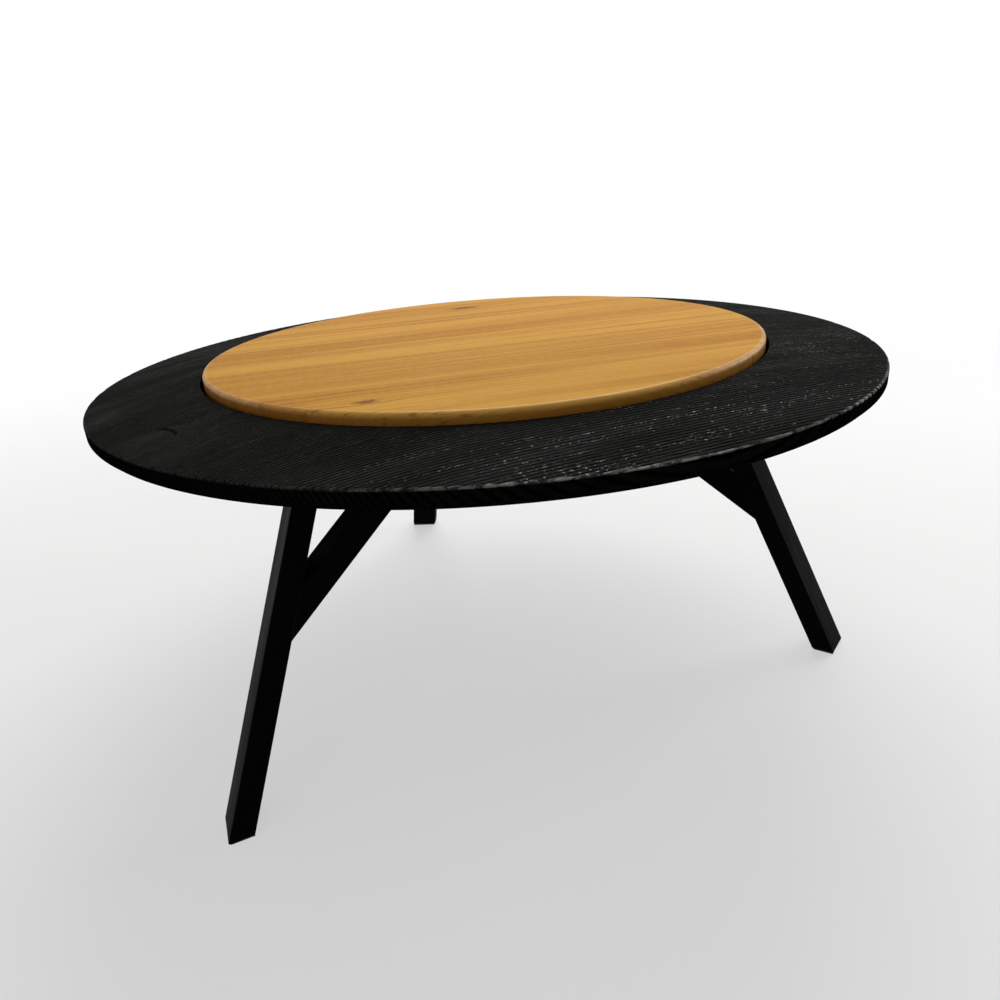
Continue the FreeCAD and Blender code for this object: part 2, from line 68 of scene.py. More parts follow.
board_corners = [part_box(f"ring_board_{number}") for number in range(1, BOARD_COUNT + 1)]
stave_corners = [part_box(f"disc_stave_{number}") for number in range(1, STAVE_ROWS + 1)]
RIM_DROP = 9 * MILLIMETRE
SLIT_WIDTH = 3 * MILLIMETRE
HOLE_ROUND = 1.2 * MILLIMETRE
DISC_UNDER_CHAMFER = 1.5 * MILLIMETRE
RING_RADIUS = max(high.y for low, high in board_corners)
RING_TOP = max(high.z for low, high in board_corners)
RING_BOTTOM = min(low.z for low, high in board_corners)
RIM_TOP = RING_TOP - RIM_DROP
DISC_RADIUS = max(high.y for low, high in stave_corners)
DISC_TOP = max(high.z for low, high in stave_corners)
DISC_BOTTOM = min(low.z for low, high in stave_corners)
HOLE_RADIUS = DISC_RADIUS + SLIT_WIDTH

# Fineness of the new meshes, full and quick, how much coarser an underside is, and a sector's doublings
RELIEF_STEP, QUICK_RELIEF_STEP = 1.15 * MILLIMETRE, 2.4 * MILLIMETRE
DISC_SIDES, QUICK_DISC_SIDES = 288, 144
DISC_STEP = 15 * MILLIMETRE
LONG_EDGE_STEPS = 1.5
UNDERSIDE_COARSENESS = 12
DOUBLINGS = 5
SECTOR_SPARE = 0.02
MERGE_DISTANCE = 0.01 * MILLIMETRE
CUT_TOLERANCE = 0.001 * MILLIMETRE

# Knots of the disc along and across its grain: centre, half length, half width
DISC_KNOTS = (
    ((-0.1655, -0.2468), 0.0140, 0.0080),
    ((0.0269, 0.2444), 0.0260, 0.0120),
    ((-0.1542, -0.2985), 0.0042, 0.0040),
    ((-0.1465, -0.2990), 0.0028, 0.0030),
    ((0.1450, 0.0900), 0.0030, 0.0016),
)
# Lightness of the staves, what it loses per metre below the face, and how far that goes down; the loss
# darkens the disc's side, partly as its deeper side grain and partly as painted shade under the rounded top
STAVE_TONES = (0.80, 0.40, 0.26, 0.60, 0.44, 0.66, 0.32, 0.50)
TONE_LOSS, TONE_LOSS_DEPTH = 22.0, 0.02
# Shift of the grain along and across the wood, from board to board and from stave to stave
BOARD_SHIFT = (0.37, 0.0313)
STAVE_SHIFT = (1.31, 0.217)

# Course of the ring's growth rings: lean, bends to the left and right, slant into the wood, and waves
GRAIN_LEAN = 0.04
LEFT_BEND, RIGHT_BEND = 3.5, 0.8
RING_SLANT = 0.45
GRAIN_WAVE, GRAIN_SWING = (9.0, 26.0), 2.2 * MILLIMETRE
RIDGE_WAVE, RIDGE_SWING = (13.0, 47.0), 0.5
# How strongly the ridges stand up, as shares of their depth
STRENGTH_WAVE, STRENGTH_SEED = (6.0, 33.0), 3.0
STRENGTH_MEAN, STRENGTH_SWING, LEAST_STRENGTH = 0.78, 0.5, 0.2
# Ends of a groove and of the rise to the crest, as shares of half a ridge
GROOVE_SHARE, RISE_SHARE = 0.04, 0.6
FINE_RING_SHARE = 0.37
# Sine waves that are added up: shares of the first coordinate, of the second and of the seed's turn
WAVES = ((1.0, 0.0, 1.0), (0.0, 0.61, -1.9), (0.83, 0.57, 1.0), (1.31, -0.74, 0.4))
SEED_TURN = 1.7

# Places of the ring where the brush took little: centre, half sizes, turn in degrees
CALM_PLACES = (
    ((-0.425, -0.058), (0.020, 0.034), -20),
    ((-0.392, -0.170), (0.036, 0.018), 35),
    ((-0.285, -0.342), (0.045, 0.016), 10),
    ((0.330, 0.250), (0.050, 0.020), -10),
)
CALM_LOSS = 0.85
# Places where glints are painted as light specks on the ring's crests, the narrow third one a painted
# highlight along the front edge: strength, centre, half sizes, turn in degrees
GLINT_PLACES = (
    (0.80, (0.060, -0.390), (0.200, 0.060), 4),
    (0.35, (0.310, -0.230), (0.110, 0.090), 30),
    # This narrow strip along the front edge carries the painted edge highlight
    (0.90, (-0.060, -0.446), (0.150, 0.012), -8),
    (0.25, (-0.160, -0.400), (0.120, 0.050), -10),
    (0.20, (-0.200, 0.330), (0.200, 0.080), 20),
)
# Strength of the painted glints all over the ring
GLINT_EVERYWHERE = 0.05
# Chips in the ring's upper outer edge
CHIP_WAVE, CHIP_SEED, CHIP_LIMIT = (190.0, 260.0), 7.0, 0.2
CHIP_DEPTH = 1.1 * MILLIMETRE
# Gains of the rounded edge's mask and of the steep outer side's mask, which takes painted shade
EDGE_GAIN, RIM_SHADE_GAIN = 2.2, 1.6
# A crescent crack by a knot of the ring; its ends and the length of their taper are in degrees
CRACK_CENTRE, CRACK_RADIUS = (-0.385, -0.175), 29 * MILLIMETRE
CRACK_START, CRACK_END, CRACK_TAPER = -16, 64, 14
CRACK_WIDTH, CRACK_DEPTH = 1.5 * MILLIMETRE, 2.2 * MILLIMETRE

# The studio: floor and backdrop, what the lights aim at, light of the surround, and fade of the floor
FLOOR_REACH, BACKDROP_HEIGHT, BACKDROP_BEND = 6.0, 5.0, 2.0
LIGHT_AIM = Vector((0, 0, 0.35))
SURROUND_LIGHT, SURROUND_SEEN = 0.28, 1.0
FADE_START, FADE_END, LEAST_FADE = 0.5, 2.6, 0.53
# The camera: place, turn in degrees, focal length and sensor in millimetres
CAMERA_PLACE, CAMERA_TURN = (-0.29750, -0.88242, 0.59983), (67.213, 3.776, -20.591)
CAMERA_LENS, CAMERA_SENSOR = 27.04, 36.0


class TableRingSettings(bpy.types.PropertyGroup):
    """Sizes and colours of the charred board ring."""

    edge_round: bpy.props.FloatProperty(
        name="Edge rounding", description="Rounding of the ring's upper outer edge",
        default=2.5 * MILLIMETRE, min=0.0, unit="LENGTH")
    under_chamfer: bpy.props.FloatProperty(
        name="Lower chamfer", description="Chamfer of the ring's lower outer edge",
        default=4.5 * MILLIMETRE, min=0.0, unit="LENGTH")
    ridge_spacing: bpy.props.FloatProperty(
        name="Ridge spacing", description="Distance from one brushed growth ring to the next",
        default=4.8 * MILLIMETRE, min=0.001, unit="LENGTH")
    ridge_depth: bpy.props.FloatProperty(
        name="Ridge depth", description="Depth that the brush has taken out between two growth rings",
        default=1.0 * MILLIMETRE, min=0.0, unit="LENGTH")
    # The crests' lighter colour is partly the hard growth rings' own colour and partly painted sheen
    crest_colour: bpy.props.FloatVectorProperty(
        name="Crest colour", description="Colour of the hard growth rings that stand up",
        default=(0.0150, 0.0150, 0.0130), min=0.0, max=1.0, size=3, subtype="COLOR")
    trough_colour: bpy.props.FloatVectorProperty(
        name="Trough colour", description="Colour of the soft wood between the rings",
        default=(0.0016, 0.0016, 0.0014), min=0.0, max=1.0, size=3, subtype="COLOR")
    # The ring's worn colour is painted on its glints: light specks on the crests and a highlight along the
    # front edge
    worn_colour: bpy.props.FloatVectorProperty(
        name="Worn colour", description="Colour of the specks where the char is rubbed through",
        default=(0.230, 0.225, 0.205), min=0.0, max=1.0, size=3, subtype="COLOR")


class TableDiscSettings(bpy.types.PropertyGroup):
    """Sizes and colours of the turning disc."""

    edge_round: bpy.props.FloatProperty(
        name="Edge rounding", description="Rounding of the disc's upper edge",
        default=5.0 * MILLIMETRE, min=0.0, unit="LENGTH")
    ring_spacing: bpy.props.FloatProperty(
        name="Growth ring spacing", description="Distance from one growth ring to the next",
        default=5.2 * MILLIMETRE, min=0.001, unit="LENGTH")
    light_colour: bpy.props.FloatVectorProperty(
        name="Light colour", description="Colour of the pale early wood",
        default=(0.760, 0.405, 0.068), min=0.0, max=1.0, size=3, subtype="COLOR")
    dark_colour: bpy.props.FloatVectorProperty(
        name="Dark colour", description="Colour of the orange bands",
        default=(0.425, 0.160, 0.012), min=0.0, max=1.0, size=3, subtype="COLOR")
    line_colour: bpy.props.FloatVectorProperty(
        name="Line colour", description="Colour of the late wood lines",
        default=(0.290, 0.095, 0.010), min=0.0, max=1.0, size=3, subtype="COLOR")
    knot_colour: bpy.props.FloatVectorProperty(
        name="Knot colour", description="Colour of the knots",
        default=(0.085, 0.024, 0.006), min=0.0, max=1.0, size=3, subtype="COLOR")


class TableFrameSettings(bpy.types.PropertyGroup):
    """Colours of the leg frames and of the panel under the ring."""

    stain_colour: bpy.props.FloatVectorProperty(
        name="Stain colour", description="Colour of the black stain on legs, braces and rails",
        default=(0.0009, 0.0009, 0.0008), min=0.0, max=1.0, size=3, subtype="COLOR")
    worn_colour: bpy.props.FloatVectorProperty(
        name="Rubbed colour", description="Colour of the stain where the grain stands up",
        default=(0.0022, 0.0020, 0.0017), min=0.0, max=1.0, size=3, subtype="COLOR")


class TableStageSettings(bpy.types.PropertyGroup):
    """The studio round the table."""

    floor_colour: bpy.props.FloatVectorProperty(
        name="Floor colour", description="Colour of the floor and the backdrop",
        default=(0.80, 0.80, 0.79), min=0.0, max=1.0, size=3, subtype="COLOR")
    key_power: bpy.props.FloatProperty(
        name="Key light", description="Power of the soft light above and behind the table",
        default=66.0, min=0.0, unit="POWER")
    side_power: bpy.props.FloatProperty(
        name="Side light", description="Power of the soft light at the right of the table",
        default=14.0, min=0.0, unit="POWER")
    fill_power: bpy.props.FloatProperty(
        name="Fill light", description="Power of the soft light in front of the table",
        default=4.0, min=0.0, unit="POWER")


# Node helpers

def set_inputs(tree, node, inputs):
    """Links or sets a node's inputs."""
    for key, value in inputs.items():
        if isinstance(value, bpy.types.NodeSocket):
            tree.links.new(value, node.inputs[key])
        else:
            node.inputs[key].default_value = value


def place_node(tree, kind, inputs=None, **settings):
    """Adds a node, with its settings and its inputs."""
    node = tree.nodes.new(kind)
    for name, value in settings.items():
        setattr(node, name, value)
    set_inputs(tree, node, inputs or {})
    return node


def feed(tree, node, **inputs):
    """Links or sets a node's inputs by their names; an underscore stands for a space."""
    set_inputs(tree, node, {name.replace("_", " "): value for name, value in inputs.items()})


def shared(tree, group, **inputs):
    """The outputs of a shared group that is placed with its inputs."""
    node = place_node(tree, "ShaderNodeGroup", node_tree=group)
    feed(tree, node, **inputs)
    return node.outputs


def maths(tree, operation, first, second=0.0, third=0.0, clamp=False):
    """One arithmetic node, and its result."""
    node = place_node(tree, "ShaderNodeMath", {0: first, 1: second, 2: third}, operation=operation)
    node.use_clamp = clamp
    return node.outputs[0]


def times(tree, *values):
    """Values multiplied together."""
    result = values[0]
    for value in values[1:]:
        result = maths(tree, "MULTIPLY", result, value)
    return result


def weigh(tree, base, *parts, clamp=False):
    """A base with each (value, weight) added on, held between 0 and 1 if asked."""
    for value, weight in parts:
        base = maths(tree, "MULTIPLY_ADD", value, weight, base)
    base.node.use_clamp = clamp
    return base


def combine(tree, operation, first, second):
    """Two vectors combined part by part."""
    return place_node(tree, "ShaderNodeVectorMath", {0: first, 1: second}, operation=operation).outputs[0]


def length_of(tree, vector):
    """The length of a vector."""
    return place_node(tree, "ShaderNodeVectorMath", {0: vector}, operation="LENGTH").outputs["Value"]


def part_of(tree, vector, axis):
    """One part of a vector."""
    return place_node(tree, "ShaderNodeSeparateXYZ", {0: vector}).outputs[axis]


def stored(tree, name, output="Fac"):
    """What the mesh stores for each point under a name."""
    return place_node(tree, "ShaderNodeAttribute", attribute_name=name).outputs[output]


def own_place(tree, turn=None):
    """Places on the piece itself, in metres, turned if asked."""
    place = place_node(tree, "ShaderNodeTexCoord").outputs["Object"]
    if turn is None:
        return place
    return place_node(tree, "ShaderNodeMapping", {"Vector": place, "Rotation": turn},
                      vector_type="POINT").outputs[0]


def noise(tree, vector, scale, detail=2.0, roughness=0.5):
    """A smooth random value over a vector, with a scale for each of its parts."""
    stretched = combine(tree, "MULTIPLY", vector, scale)
    return place_node(tree, "ShaderNodeTexNoise", {"Vector": stretched, "Scale": 1.0, "Detail": detail,
                                                   "Roughness": roughness}).outputs["Fac"]


def ramp(tree, value, low, high):
    """A value spread from low..high to 0..1, with soft ends."""
    return place_node(tree, "ShaderNodeMapRange", {"Value": value, "From Min": low, "From Max": high},
                      interpolation_type="SMOOTHSTEP").outputs["Result"]


def flecks(tree, vector, scale, low, high, detail=2.0, roughness=0.5):
    """Random patches, 0 where the noise is under low and 1 where it is over high."""
    return ramp(tree, noise(tree, vector, scale, detail, roughness), low, high)


def tint(tree, factor, first, second):
    """Two colours mixed."""
    node = place_node(tree, "ShaderNodeMix", data_type="RGBA")
    first, second = (value if isinstance(value, bpy.types.NodeSocket) else (*value, 1.0)
                     for value in (first, second))
    set_inputs(tree, node, {0: factor, 6: first, 7: second})
    return node.outputs[2]


def layered(tree, colour, *layers):
    """A colour with others laid over it, each (mask, share, colour)."""
    for mask, share, over in layers:
        colour = tint(tree, times(tree, mask, share), colour, over)
    return colour


def start_group(name, inputs, outputs):
    """An empty shader node group with its sockets, and what comes into it."""
    group = bpy.data.node_groups.new(name, "ShaderNodeTree")
    for label, kind, value in inputs:
        socket = group.interface.new_socket(label, in_out="INPUT", socket_type=kind)
        if value is not None:
            socket.default_value = value
    for label in outputs:
        group.interface.new_socket(label, in_out="OUTPUT", socket_type="NodeSocketFloat")
    return group, group.nodes.new("NodeGroupInput").outputs


def growth_rings_group():
    """Growth rings, broad bands and fibres over a grain vector whose X runs along the wood."""
    name = "Growth rings"
    if name in bpy.data.node_groups:
        return bpy.data.node_groups[name]
    group, given = start_group(
        name,
        [("Grain", "NodeSocketVector", None), ("Ring Spacing", "NodeSocketFloat", 0.005),
         ("Waviness", "NodeSocketFloat", 0.010)],
        ["Ring", "Band", "Fibre"],
    )
    grain = given["Grain"]
    sway = maths(group, "SUBTRACT", noise(group, grain, scale=(2.6, 11.0, 11.0)), 0.5)
    crowd = maths(group, "SUBTRACT", noise(group, grain, scale=(0.5, 27.0, 27.0), detail=1.0), 0.5)
    across = weigh(group, part_of(group, grain, "Y"), (part_of(group, grain, "Z"), 0.55),
                   (sway, given["Waviness"]), (crowd, 0.035))
    step = maths(group, "FRACT", maths(group, "DIVIDE", across, given["Ring Spacing"]))
    ring = times(group, maths(group, "POWER", step, 2.6), ramp(group, step, 1.0, 0.90))
    band = flecks(group, grain, scale=(0.9, 21.0, 21.0), low=0.34, high=0.66, detail=3.0, roughness=0.55)
    fibre = flecks(group, grain, scale=(18.0, 850.0, 850.0), low=0.28, high=0.72, roughness=0.6)
    place_node(group, "NodeGroupOutput", {"Ring": ring, "Band": band, "Fibre": fibre})
    return group


def rubbed_patches_group():
    """Uneven sheen, in broad patches along the wood."""
    name = "Rubbed patches"
    if name in bpy.data.node_groups:
        return bpy.data.node_groups[name]
    group, given = start_group(name, [("Grain", "NodeSocketVector", None)], ["Patch"])
    patch = flecks(group, given["Grain"], scale=(7.0, 24.0, 24.0), low=0.36, high=0.66, detail=3.0,
                   roughness=0.6)
    place_node(group, "NodeGroupOutput", {"Patch": patch})
    return group


def wood_knot_group():
    """A knot's darkness, and how far it pushes the grain aside, round a centre in the wood."""
    name = "Wood knot"
    if name in bpy.data.node_groups:
        return bpy.data.node_groups[name]
    group, given = start_group(
        name,
        [(label, "NodeSocketVector", None) for label in ("Place", "Centre", "Half Size")],
        ["Dark", "Push"],
    )
    place, size = given["Place"], given["Half Size"]
    away = combine(group, "MULTIPLY", combine(group, "SUBTRACT", place, given["Centre"]), (1.0, 1.0, 0.0))
    away = combine(group, "DIVIDE", away, size)
    reach = length_of(group, away)
    ragged = noise(group, place, scale=(210.0, 430.0, 430.0), detail=3.0, roughness=0.65)
    ragged = maths(group, "SUBTRACT", ragged, 0.5)
    near = maths(group, "EXPONENT", times(group, reach, reach, -0.12))
    side = maths(group, "TANH", part_of(group, away, "Y"))
    place_node(group, "NodeGroupOutput", {
        "Dark": ramp(group, weigh(group, reach, (ragged, 2.4)), 1.15, 0.20),
        "Push": times(group, near, side, part_of(group, size, "Y")),
    })
    return group


# Materials

def blank_material(name):
    """A new material with its Principled shader."""
    material = bpy.data.materials.new(name)
    material.use_nodes = True
    return material, material.node_tree, material.node_tree.nodes["Principled BSDF"]


def add_bump(tree, shader, *layers):
    """Heights added up on the surface: (height, distance in metres, strength), the coarsest first."""
    below = {}
    for height, distance, strength in layers:
        bump = place_node(tree, "ShaderNodeBump", {"Height": height, "Distance": distance,
                                                   "Strength": strength, **below})
        below = {"Normal": bump.outputs["Normal"]}
    set_inputs(tree, shader, below)


def honey_wood(settings):
    """Oiled honey-coloured wood, on the disc's grain, tone and edge attributes."""
    material, tree, shader = blank_material("oiled_honey_wood")
    place = own_place(tree, turn=(0, 0, -STAVE_TURN))
    knot, push = 0.0, 0.0
    for (along, across), half_length, half_width in DISC_KNOTS:
        one = shared(tree, wood_knot_group(), Place=place, Centre=(along, across, 0),
                     Half_Size=(half_length, half_width, 1))
        knot = maths(tree, "MAXIMUM", knot, one["Dark"])
        push = maths(tree, "ADD", push, one["Push"])
    aside = place_node(tree, "ShaderNodeCombineXYZ", {"Y": push}).outputs[0]
    grain = combine(tree, "SUBTRACT", stored(tree, "grain", "Vector"), aside)
    rings = shared(tree, growth_rings_group(), Grain=grain, Waviness=0.006,
                   Ring_Spacing=settings.ring_spacing)
    ring, band, fibre = (rings[label] for label in ("Ring", "Band", "Fibre"))

    mixed = weigh(tree, 0.0, (band, 0.55), (stored(tree, "tone"), 0.55), clamp=True)
    flash = flecks(tree, grain, scale=(0.9, 165.0, 165.0), low=0.56, high=0.62, detail=3.0)
    shade = flecks(tree, grain, scale=(1.3, 210.0, 210.0), low=0.59, high=0.67)
    # Fine cross-grain ripple, laid on lighter: partly the wood's ripple figure, partly its shimmer painted
    # in as sheen
    ripple = flecks(tree, grain, scale=(170.0, 30.0, 30.0), low=0.35, high=0.65)
    # Darker towards the bottom of the disc's side: partly deeper side grain, partly painted shade
    below = ramp(tree, part_of(tree, grain, "Z"), -0.0015, -0.007)
    light, line = settings.light_colour, settings.line_colour
    colour = layered(
        tree, tint(tree, mixed, settings.dark_colour, light),
        (flash, 0.75, light), (shade, 0.70, line), (ring, 0.30, line), (fibre, 0.18, line),
        (ripple, 0.12, light), (below, 0.62, line), (knot, 0.78, settings.knot_colour))
    feed(tree, shader, Base_Color=colour, Roughness=weigh(tree, 0.38, (fibre, 0.12), (ring, -0.06)),
         Specular_IOR_Level=weigh(tree, 0.010, (stored(tree, "edge"), 0.20)))
    add_bump(tree, shader, (ring, 0.00012, 0.5), (fibre, 0.00006, 0.5), (knot, -0.0004, 0.6))
    return material


def ridge_lines(tree, phase):
    """Broad crests and narrow grooves over a phase that grows by one from ridge to ridge."""
    fold = maths(tree, "ABSOLUTE", weigh(tree, -1.0, (maths(tree, "FRACT", phase), 2.0)))
    away = maths(tree, "SUBTRACT", 1.0, fold)
    return ramp(tree, away, 0.10, 0.66), ramp(tree, away, 0.34, 0.04)


def charred_wood(settings):
    """Brushed, charred wood, on the ring's grain, phase, relief, glint, edge, rim and crack attributes;
    painted glints, a painted edge highlight and painted shade lie in its colour.
    """
    material, tree, shader = blank_material("brushed_charred_wood")
    grain = stored(tree, "grain", "Vector")
    phase, relief, glint_strength, edge, rim_shade, crack = (
        stored(tree, name) for name in ("phase", "relief", "glint_strength", "edge", "rim_shade", "crack"))
    crest, groove = ridge_lines(tree, phase)
    rings = shared(tree, growth_rings_group(), Grain=grain, Waviness=0.004,
                   Ring_Spacing=FINE_RING_SHARE * settings.ridge_spacing)
    patch = shared(tree, rubbed_patches_group(), Grain=grain)["Patch"]
    broken = flecks(tree, grain, scale=(110.0, 520.0, 520.0), low=0.36, high=0.60, roughness=0.6)
    # Dots and streaks on the crests make painted glints, light specks that stand in for reflections
    dots = flecks(tree, grain, scale=(270.0, 560.0, 560.0), low=0.60, high=0.69, detail=1.0)
    streaks = flecks(tree, grain, scale=(9.0, 95.0, 95.0), low=0.48, high=0.62)
    # Chips on the rounded edge make a broken painted highlight along the front edge
    chips = flecks(tree, grain, scale=(60.0, 90.0, 90.0), low=0.42, high=0.56, detail=3.0, roughness=0.7)
    face = maths(tree, "SUBTRACT", 1.0, rim_shade, clamp=True)
    # Painted glints on the crests, then together with the edge's painted highlight
    rubbed = times(tree, dots, streaks, crest, glint_strength, face)
    painted_glints = maths(tree, "MAXIMUM", rubbed, times(tree, chips, edge, glint_strength, 0.7))

    # Crests lighter than troughs: partly the growth rings' own colour, partly painted sheen on the crests
    raised = times(tree, crest, weigh(tree, 0.5, (broken, 0.5)), weigh(tree, 0.6, (rings["Band"], 0.4)))
    # Painted shade in the grooves and in the crack
    groove_and_crack_shade = maths(tree, "MAXIMUM", times(tree, groove, relief), crack)
    shade_colour = tuple(0.4 * value for value in settings.trough_colour)
    # Laid over the grain: painted shade in the grooves, the crack and on the steep outer side, then the
    # painted glints
    colour = layered(
        tree, tint(tree, raised, settings.trough_colour, settings.crest_colour),
        (groove_and_crack_shade, 1.0, shade_colour), (rim_shade, 0.6, shade_colour), (painted_glints, 1.0, settings.worn_colour))
    feed(tree, shader, Base_Color=colour,
         Roughness=weigh(tree, 0.60, (patch, -0.16), (rings["Fibre"], 0.10), (painted_glints, -0.25)),
         Specular_IOR_Level=weigh(tree, 0.0, (face, 0.012), (painted_glints, 0.5), (times(tree, edge, glint_strength), 0.20)))
    add_bump(tree, shader, (crest, 0.0006, 0.7), (broken, 0.0005, 0.7), (rings["Fibre"], 0.0002, 0.6))
    return material


def stained_wood(name, settings, turn, spacing=0.0035, sheen=0.46):
    """Black stained wood; turn lays the grain along the piece."""
    material, tree, shader = blank_material(name)
    grain = own_place(tree, turn)
    rings = shared(tree, growth_rings_group(), Grain=grain, Ring_Spacing=spacing, Waviness=0.004)
    ring, fibre = rings["Ring"], rings["Fibre"]
    patch = shared(tree, rubbed_patches_group(), Grain=grain)["Patch"]

    raised = weigh(tree, 0.0, (ring, 0.55), (fibre, 0.35), clamp=True)
    raised = times(tree, raised, weigh(tree, 0.4, (patch, 0.6)))
    feed(tree, shader, Base_Color=tint(tree, raised, settings.stain_colour, settings.worn_colour),
         Roughness=weigh(tree, sheen, (fibre, 0.12), (patch, -0.10)), Specular_IOR_Level=0.012)
    add_bump(tree, shader, (ring, 0.00025, 0.7), (fibre, 0.00012, 0.6))
    return material


def plain_beech():
    """Pale beech for the dowels."""
    material, tree, shader = blank_material("plain_beech")
    rings = shared(tree, growth_rings_group(), Grain=own_place(tree), Ring_Spacing=0.002)
    colour = tint(tree, rings["Ring"], (0.60, 0.43, 0.25), (0.44, 0.29, 0.15))
    feed(tree, shader, Base_Color=layered(tree, colour, (rings["Fibre"], 0.3, (0.40, 0.25, 0.12))),
         Roughness=weigh(tree, 0.5, (rings["Fibre"], 0.15)))
    add_bump(tree, shader, (rings["Fibre"], 0.00005, 0.5))
    return material


def bare_metal(name, bright, dull, roughness, marks_scale):
    """Metal with fine machining or plating marks."""
    material, tree, shader = blank_material(name)
    place = own_place(tree)
    marks = noise(tree, place, marks_scale, detail=3.0, roughness=0.6)
    cloud = flecks(tree, place, scale=(35.0, 35.0, 35.0), low=0.35, high=0.65)
    feed(tree, shader, Base_Color=tint(tree, cloud, dull, bright), Metallic=1.0,
         Roughness=weigh(tree, roughness, (marks, 0.18)))
    add_bump(tree, shader, (marks, 0.00004, 0.5))
    return material


def moulded_plastic(name, first, second, roughness):
    """Plastic with a fine moulded texture and a little dust tone."""
    material, tree, shader = blank_material(name)
    place = own_place(tree)
    cloud = flecks(tree, place, scale=(60.0, 60.0, 60.0), low=0.35, high=0.65, detail=3.0)
    tooth = noise(tree, place, scale=(1500.0, 1500.0, 1500.0), detail=1.0)
    feed(tree, shader, Base_Color=tint(tree, cloud, first, second),
         Roughness=weigh(tree, roughness, (cloud, 0.12)))
    add_bump(tree, shader, (tooth, 0.00005, 0.6))
    return material


# Mesh helpers

def round_corner(bm, corner, radius, segments):
    """Rounds the outline's corner that lies at a radius and a height."""
    target = Vector((corner[0], 0, corner[1]))
    vertex = min(bm.verts, key=lambda v: (v.co - target).length)
    bmesh.ops.bevel(bm, geom=[vertex], offset=radius, segments=segments, profile=0.5, affect="VERTICES",
                    material=-1)


def turned_blank(outline, rounds, step, turn_step, first=0.0, sweep=FULL_TURN):
    """A body spun about Z from an outline of (radius, height), whole or over a sector.

    Its edges are divided into steps; its underside stays coarse.
    """
    bm = bmesh.new()
    bm.faces.new([bm.verts.new((radius, 0, height)) for radius, height in outline])
    for corner, radius, segments in rounds:
        round_corner(bm, corner, radius, segments)
    bmesh.ops.delete(bm, geom=bm.faces[:], context="FACES_ONLY")
    on_axis = [edge for edge in bm.edges if all(v.co.x < MILLIMETRE for v in edge.verts)]
    bmesh.ops.delete(bm, geom=on_axis, context="EDGES")
    bottom = min(height for radius, height in outline) + MILLIMETRE
    for edge in [e for e in bm.edges if e.calc_length() > LONG_EDGE_STEPS * step]:
        coarse = UNDERSIDE_COARSENESS if all(v.co.z < bottom for v in edge.verts) else 1
        bmesh.ops.subdivide_edges(bm, edges=[edge], cuts=int(edge.calc_length() / (step * coarse)))
    bmesh.ops.rotate(bm, verts=bm.verts[:], cent=(0, 0, 0), matrix=Matrix.Rotation(first, 3, "Z"))
    # A short sector is spun, and the rest of the sweep is made of its copies, which is much quicker
    sector = sweep / 2 ** DOUBLINGS
    bmesh.ops.spin(bm, geom=bm.verts[:] + bm.edges[:], axis=(0, 0, 1), cent=(0, 0, 0),
                   steps=math.ceil(sector / turn_step), angle=sector, use_merge=False, use_duplicate=False)
    for doubling in range(DOUBLINGS):
        copy = bmesh.ops.duplicate(bm, geom=bm.verts[:] + bm.edges[:] + bm.faces[:])["geom"]
        bmesh.ops.rotate(bm, verts=[g for g in copy if isinstance(g, bmesh.types.BMVert)], cent=(0, 0, 0),
                         matrix=Matrix.Rotation(sector * 2 ** doubling, 3, "Z"))
    bmesh.ops.remove_doubles(bm, verts=bm.verts[:], dist=MERGE_DISTANCE)
    return bm


def keep_side(bm, point, outward):
    """Cuts a body with a plane, drops what lies outward of it and closes the cut."""
    cut = bmesh.ops.bisect_plane(bm, geom=bm.verts[:] + bm.edges[:] + bm.faces[:], dist=CUT_TOLERANCE,
                                 plane_co=point, plane_no=outward, clear_outer=True)
    edges = [g for g in cut["geom_cut"] if isinstance(g, bmesh.types.BMEdge)]
    if edges:
        bmesh.ops.holes_fill(bm, edges=edges, sides=0)


def finished_piece(bm, name, body, material, replaced):
    """Makes a piece of a bmesh, in its place, and ties it to the frame."""
    bmesh.ops.recalc_face_normals(bm, faces=bm.faces[:])
    mesh = bpy.data.meshes.new(name)
    bm.to_mesh(mesh)
    bm.free()
    piece = bpy.data.objects.new(name, mesh)
    bpy.context.scene.collection.objects.link(piece)
    mesh.materials.append(material)
    mesh.polygons.foreach_set("use_smooth", np.ones(len(mesh.polygons), bool))
    mesh.set_sharp_from_angle(angle=SHARP_ANGLE)
    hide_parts(*replaced)
    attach(piece, body)
    return piece


def places_of(mesh):
    """The mesh's points as an array of rows."""
    points = np.empty(len(mesh.vertices) * 3, np.float32)
    mesh.vertices.foreach_get("co", points)
    return points.reshape(-1, 3).astype(float)


def store(mesh, name, values):
    """Stores one value or one vector for each point."""
    vectors = values.ndim > 1
    attribute = mesh.attributes.new(name, "FLOAT_VECTOR" if vectors else "FLOAT", "POINT")
    attribute.data.foreach_set("vector" if vectors else "value", values.astype(np.float32).ravel())


# Shapes over the table's plan

def turned(x, y, angle):
    """Coordinates in a frame that is turned by an angle."""
    cosine, sine = math.cos(angle), math.sin(angle)
    return cosine * x + sine * y, cosine * y - sine * x


def wander(first, second, wave, seed):
    """A slow smooth value between -1 and 1 over two coordinates; wave has its radians per metre of each."""
    first, second, turn = wave[0] * first, wave[1] * second, SEED_TURN * seed
    return sum(np.sin(a * first + b * second + c * turn) for a, b, c in WAVES) / len(WAVES)


def spot(points, centre, sizes, turn=0.0):
    """A soft oval spot, 1 at its centre."""
    along, across = turned(points[:, 0] - centre[0], points[:, 1] - centre[1], math.radians(turn))
    return np.exp(-(along / sizes[0]) ** 2 - (across / sizes[1]) ** 2)


def face_height(radius):
    """Height of the ring's sloping upper face at a radius."""
    return RING_TOP - RIM_DROP * (radius - HOLE_RADIUS) / (RING_RADIUS - HOLE_RADIUS)


